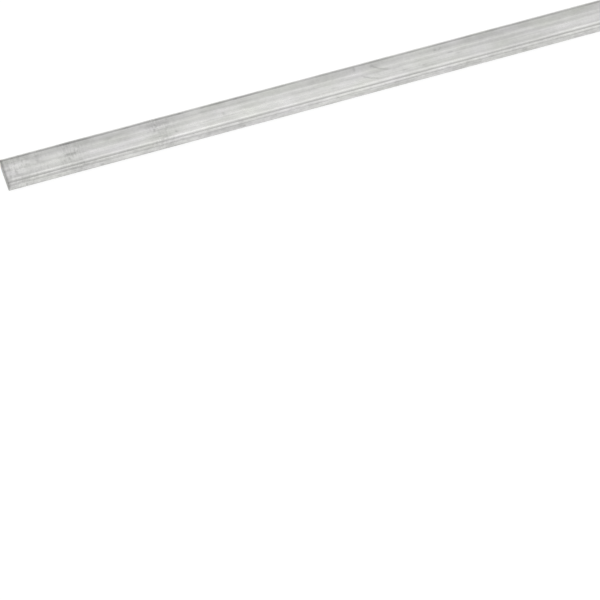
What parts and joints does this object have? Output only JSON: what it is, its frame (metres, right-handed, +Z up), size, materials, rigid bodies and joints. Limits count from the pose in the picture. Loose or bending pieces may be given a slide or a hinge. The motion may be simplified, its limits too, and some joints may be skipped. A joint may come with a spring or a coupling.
{
  "type": "bus bar",
  "caption": "Flat tinned copper bus bar with rounded long corners and plain sawn ends, as undrilled stock.",
  "frame": {"origin": "middle of the wide face that the bar lies on, halfway along the bar", "axes": "+X along the bar, +Y across its wide faces, +Z up through its thickness"},
  "size_m": [1, 0.012, 0.005],
  "materials": {
    "tinned_copper": "satin"
  },
  "bodies": {
    "root": {"bus_bar": "tinned_copper"}
  },
  "joints": []
}
